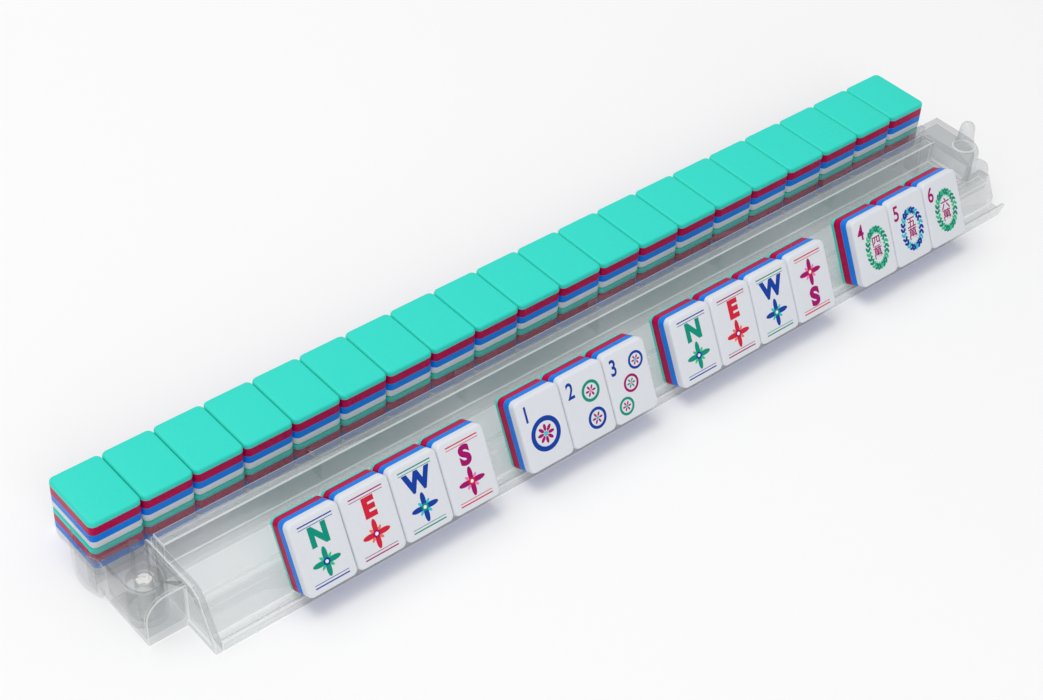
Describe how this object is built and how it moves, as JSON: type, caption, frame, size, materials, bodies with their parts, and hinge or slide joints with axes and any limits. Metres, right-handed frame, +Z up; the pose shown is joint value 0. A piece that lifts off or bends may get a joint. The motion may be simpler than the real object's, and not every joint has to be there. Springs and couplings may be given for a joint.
{
  "type": "mahjong rack",
  "caption": "Clear mahjong rack with a leaning tile tray, a shelf and a rail, a pusher that swings out on a pivot, a hand of tiles and a wall of stacked tiles.",
  "frame": {"origin": "middle of the whole set, on the surface it stands on", "axes": "+X along the rack to the right of the player who sits at its front, +Y away from the player, +Z up"},
  "size_m": [0.4491, 0.0924, 0.0354],
  "materials": {
    "clear_plastic": "clear, polished",
    "pin_plastic": "cut, dull",
    "tile": "smooth, satin gloss"
  },
  "bodies": {
    "rack": {"rack_body": "clear_plastic", "rack_end_left": "clear_plastic", "rack_end_right": "clear_plastic", "pivot_pin": "pin_plastic", "end_peg": "clear_plastic"},
    "pusher": {"pusher": "clear_plastic"},
    "body_hand_tile_01": {"hand_tile_01": "tile"},
    "body_hand_tile_02": {"hand_tile_02": "tile"},
    "body_hand_tile_03": {"hand_tile_03": "tile"},
    "body_hand_tile_04": {"hand_tile_04": "tile"},
    "body_hand_tile_05": {"hand_tile_05": "tile"},
    "body_hand_tile_06": {"hand_tile_06": "tile"},
    "body_hand_tile_07": {"hand_tile_07": "tile"},
    "body_hand_tile_08": {"hand_tile_08": "tile"},
    "body_hand_tile_09": {"hand_tile_09": "tile"},
    "body_hand_tile_10": {"hand_tile_10": "tile"},
    "body_hand_tile_11": {"hand_tile_11": "tile"},
    "body_hand_tile_12": {"hand_tile_12": "tile"},
    "body_hand_tile_13": {"hand_tile_13": "tile"},
    "body_hand_tile_14": {"hand_tile_14": "tile"},
    "body_wall_lower_01": {"wall_lower_01": "tile"},
    "body_wall_lower_02": {"wall_lower_02": "tile"},
    "body_wall_lower_03": {"wall_lower_03": "tile"},
    "body_wall_lower_04": {"wall_lower_04": "tile"},
    "body_wall_lower_05": {"wall_lower_05": "tile"},
    "body_wall_lower_06": {"wall_lower_06": "tile"},
    "body_wall_lower_07": {"wall_lower_07": "tile"},
    "body_wall_lower_08": {"wall_lower_08": "tile"},
    "body_wall_lower_09": {"wall_lower_09": "tile"},
    "body_wall_lower_10": {"wall_lower_10": "tile"},
    "body_wall_lower_11": {"wall_lower_11": "tile"},
    "body_wall_lower_12": {"wall_lower_12": "tile"},
    "body_wall_lower_13": {"wall_lower_13": "tile"},
    "body_wall_lower_14": {"wall_lower_14": "tile"},
    "body_wall_lower_15": {"wall_lower_15": "tile"},
    "body_wall_lower_16": {"wall_lower_16": "tile"},
    "body_wall_lower_17": {"wall_lower_17": "tile"},
    "body_wall_lower_18": {"wall_lower_18": "tile"},
    "body_wall_lower_19": {"wall_lower_19": "tile"},
    "body_wall_lower_20": {"wall_lower_20": "tile"},
    "body_wall_upper_01": {"wall_upper_01": "tile"},
    "body_wall_upper_02": {"wall_upper_02": "tile"},
    "body_wall_upper_03": {"wall_upper_03": "tile"},
    "body_wall_upper_04": {"wall_upper_04": "tile"},
    "body_wall_upper_05": {"wall_upper_05": "tile"},
    "body_wall_upper_06": {"wall_upper_06": "tile"},
    "body_wall_upper_07": {"wall_upper_07": "tile"},
    "body_wall_upper_08": {"wall_upper_08": "tile"},
    "body_wall_upper_09": {"wall_upper_09": "tile"},
    "body_wall_upper_10": {"wall_upper_10": "tile"},
    "body_wall_upper_11": {"wall_upper_11": "tile"},
    "body_wall_upper_12": {"wall_upper_12": "tile"},
    "body_wall_upper_13": {"wall_upper_13": "tile"},
    "body_wall_upper_14": {"wall_upper_14": "tile"},
    "body_wall_upper_15": {"wall_upper_15": "tile"},
    "body_wall_upper_16": {"wall_upper_16": "tile"},
    "body_wall_upper_17": {"wall_upper_17": "tile"},
    "body_wall_upper_18": {"wall_upper_18": "tile"},
    "body_wall_upper_19": {"wall_upper_19": "tile"},
    "body_wall_upper_20": {"wall_upper_20": "tile"}
  },
  "joints": [
    {"name": "pusher_swing", "type": "hinge", "parent": "rack", "child": "pusher", "pos_m": [-0.21405, -0.01075, 0], "axis": [0, 0, 1], "range_deg": [0, 60]},
    {"name": "hand_tile_01_lift", "type": "slide", "parent": "rack", "child": "body_hand_tile_01", "axis": [0, 0.4384, 0.8988], "range_m": [0, 0.04]},
    {"name": "hand_tile_02_lift", "type": "slide", "parent": "rack", "child": "body_hand_tile_02", "axis": [0, 0.4384, 0.8988], "range_m": [0, 0.04]},
    {"name": "hand_tile_03_lift", "type": "slide", "parent": "rack", "child": "body_hand_tile_03", "axis": [0, 0.4384, 0.8988], "range_m": [0, 0.04]},
    {"name": "hand_tile_04_lift", "type": "slide", "parent": "rack", "child": "body_hand_tile_04", "axis": [0, 0.4384, 0.8988], "range_m": [0, 0.04]},
    {"name": "hand_tile_05_lift", "type": "slide", "parent": "rack", "child": "body_hand_tile_05", "axis": [0, 0.4384, 0.8988], "range_m": [0, 0.04]},
    {"name": "hand_tile_06_lift", "type": "slide", "parent": "rack", "child": "body_hand_tile_06", "axis": [0, 0.4384, 0.8988], "range_m": [0, 0.04]},
    {"name": "hand_tile_07_lift", "type": "slide", "parent": "rack", "child": "body_hand_tile_07", "axis": [0, 0.4384, 0.8988], "range_m": [0, 0.04]},
    {"name": "hand_tile_08_lift", "type": "slide", "parent": "rack", "child": "body_hand_tile_08", "axis": [0, 0.4384, 0.8988], "range_m": [0, 0.04]},
    {"name": "hand_tile_09_lift", "type": "slide", "parent": "rack", "child": "body_hand_tile_09", "axis": [0, 0.4384, 0.8988], "range_m": [0, 0.04]},
    {"name": "hand_tile_10_lift", "type": "slide", "parent": "rack", "child": "body_hand_tile_10", "axis": [0, 0.4384, 0.8988], "range_m": [0, 0.04]},
    {"name": "hand_tile_11_lift", "type": "slide", "parent": "rack", "child": "body_hand_tile_11", "axis": [0, 0.4384, 0.8988], "range_m": [0, 0.04]},
    {"name": "hand_tile_12_lift", "type": "slide", "parent": "rack", "child": "body_hand_tile_12", "axis": [0, 0.4384, 0.8988], "range_m": [0, 0.04]},
    {"name": "hand_tile_13_lift", "type": "slide", "parent": "rack", "child": "body_hand_tile_13", "axis": [0, 0.4384, 0.8988], "range_m": [0, 0.04]},
    {"name": "hand_tile_14_lift", "type": "slide", "parent": "rack", "child": "body_hand_tile_14", "axis": [0, 0.4384, 0.8988], "range_m": [0, 0.04]},
    {"name": "wall_lower_01_lift", "type": "slide", "parent": "pusher", "child": "body_wall_lower_01", "axis": [0, 0, 1], "range_m": [0, 0.04]},
    {"name": "wall_lower_02_lift", "type": "slide", "parent": "pusher", "child": "body_wall_lower_02", "axis": [0, 0, 1], "range_m": [0, 0.04]},
    {"name": "wall_lower_03_lift", "type": "slide", "parent": "pusher", "child": "body_wall_lower_03", "axis": [0, 0, 1], "range_m": [0, 0.04]},
    {"name": "wall_lower_04_lift", "type": "slide", "parent": "pusher", "child": "body_wall_lower_04", "axis": [0, 0, 1], "range_m": [0, 0.04]},
    {"name": "wall_lower_05_lift", "type": "slide", "parent": "pusher", "child": "body_wall_lower_05", "axis": [0, 0, 1], "range_m": [0, 0.04]},
    {"name": "wall_lower_06_lift", "type": "slide", "parent": "pusher", "child": "body_wall_lower_06", "axis": [0, 0, 1], "range_m": [0, 0.04]},
    {"name": "wall_lower_07_lift", "type": "slide", "parent": "pusher", "child": "body_wall_lower_07", "axis": [0, 0, 1], "range_m": [0, 0.04]},
    {"name": "wall_lower_08_lift", "type": "slide", "parent": "pusher", "child": "body_wall_lower_08", "axis": [0, 0, 1], "range_m": [0, 0.04]},
    {"name": "wall_lower_09_lift", "type": "slide", "parent": "pusher", "child": "body_wall_lower_09", "axis": [0, 0, 1], "range_m": [0, 0.04]},
    {"name": "wall_lower_10_lift", "type": "slide", "parent": "pusher", "child": "body_wall_lower_10", "axis": [0, 0, 1], "range_m": [0, 0.04]},
    {"name": "wall_lower_11_lift", "type": "slide", "parent": "pusher", "child": "body_wall_lower_11", "axis": [0, 0, 1], "range_m": [0, 0.04]},
    {"name": "wall_lower_12_lift", "type": "slide", "parent": "pusher", "child": "body_wall_lower_12", "axis": [0, 0, 1], "range_m": [0, 0.04]},
    {"name": "wall_lower_13_lift", "type": "slide", "parent": "pusher", "child": "body_wall_lower_13", "axis": [0, 0, 1], "range_m": [0, 0.04]},
    {"name": "wall_lower_14_lift", "type": "slide", "parent": "pusher", "child": "body_wall_lower_14", "axis": [0, 0, 1], "range_m": [0, 0.04]},
    {"name": "wall_lower_15_lift", "type": "slide", "parent": "pusher", "child": "body_wall_lower_15", "axis": [0, 0, 1], "range_m": [0, 0.04]},
    {"name": "wall_lower_16_lift", "type": "slide", "parent": "pusher", "child": "body_wall_lower_16", "axis": [0, 0, 1], "range_m": [0, 0.04]},
    {"name": "wall_lower_17_lift", "type": "slide", "parent": "pusher", "child": "body_wall_lower_17", "axis": [0, 0, 1], "range_m": [0, 0.04]},
    {"name": "wall_lower_18_lift", "type": "slide", "parent": "pusher", "child": "body_wall_lower_18", "axis": [0, 0, 1], "range_m": [0, 0.04]},
    {"name": "wall_lower_19_lift", "type": "slide", "parent": "pusher", "child": "body_wall_lower_19", "axis": [0, 0, 1], "range_m": [0, 0.04]},
    {"name": "wall_lower_20_lift", "type": "slide", "parent": "pusher", "child": "body_wall_lower_20", "axis": [0, 0, 1], "range_m": [0, 0.04]},
    {"name": "wall_upper_01_lift", "type": "slide", "parent": "body_wall_lower_01", "child": "body_wall_upper_01", "axis": [0, 0, 1], "range_m": [0, 0.04]},
    {"name": "wall_upper_02_lift", "type": "slide", "parent": "body_wall_lower_02", "child": "body_wall_upper_02", "axis": [0, 0, 1], "range_m": [0, 0.04]},
    {"name": "wall_upper_03_lift", "type": "slide", "parent": "body_wall_lower_03", "child": "body_wall_upper_03", "axis": [0, 0, 1], "range_m": [0, 0.04]},
    {"name": "wall_upper_04_lift", "type": "slide", "parent": "body_wall_lower_04", "child": "body_wall_upper_04", "axis": [0, 0, 1], "range_m": [0, 0.04]},
    {"name": "wall_upper_05_lift", "type": "slide", "parent": "body_wall_lower_05", "child": "body_wall_upper_05", "axis": [0, 0, 1], "range_m": [0, 0.04]},
    {"name": "wall_upper_06_lift", "type": "slide", "parent": "body_wall_lower_06", "child": "body_wall_upper_06", "axis": [0, 0, 1], "range_m": [0, 0.04]},
    {"name": "wall_upper_07_lift", "type": "slide", "parent": "body_wall_lower_07", "child": "body_wall_upper_07", "axis": [0, 0, 1], "range_m": [0, 0.04]},
    {"name": "wall_upper_08_lift", "type": "slide", "parent": "body_wall_lower_08", "child": "body_wall_upper_08", "axis": [0, 0, 1], "range_m": [0, 0.04]},
    {"name": "wall_upper_09_lift", "type": "slide", "parent": "body_wall_lower_09", "child": "body_wall_upper_09", "axis": [0, 0, 1], "range_m": [0, 0.04]},
    {"name": "wall_upper_10_lift", "type": "slide", "parent": "body_wall_lower_10", "child": "body_wall_upper_10", "axis": [0, 0, 1], "range_m": [0, 0.04]},
    {"name": "wall_upper_11_lift", "type": "slide", "parent": "body_wall_lower_11", "child": "body_wall_upper_11", "axis": [0, 0, 1], "range_m": [0, 0.04]},
    {"name": "wall_upper_12_lift", "type": "slide", "parent": "body_wall_lower_12", "child": "body_wall_upper_12", "axis": [0, 0, 1], "range_m": [0, 0.04]},
    {"name": "wall_upper_13_lift", "type": "slide", "parent": "body_wall_lower_13", "child": "body_wall_upper_13", "axis": [0, 0, 1], "range_m": [0, 0.04]},
    {"name": "wall_upper_14_lift", "type": "slide", "parent": "body_wall_lower_14", "child": "body_wall_upper_14", "axis": [0, 0, 1], "range_m": [0, 0.04]},
    {"name": "wall_upper_15_lift", "type": "slide", "parent": "body_wall_lower_15", "child": "body_wall_upper_15", "axis": [0, 0, 1], "range_m": [0, 0.04]},
    {"name": "wall_upper_16_lift", "type": "slide", "parent": "body_wall_lower_16", "child": "body_wall_upper_16", "axis": [0, 0, 1], "range_m": [0, 0.04]},
    {"name": "wall_upper_17_lift", "type": "slide", "parent": "body_wall_lower_17", "child": "body_wall_upper_17", "axis": [0, 0, 1], "range_m": [0, 0.04]},
    {"name": "wall_upper_18_lift", "type": "slide", "parent": "body_wall_lower_18", "child": "body_wall_upper_18", "axis": [0, 0, 1], "range_m": [0, 0.04]},
    {"name": "wall_upper_19_lift", "type": "slide", "parent": "body_wall_lower_19", "child": "body_wall_upper_19", "axis": [0, 0, 1], "range_m": [0, 0.04]},
    {"name": "wall_upper_20_lift", "type": "slide", "parent": "body_wall_lower_20", "child": "body_wall_upper_20", "axis": [0, 0, 1], "range_m": [0, 0.04]}
  ]
}
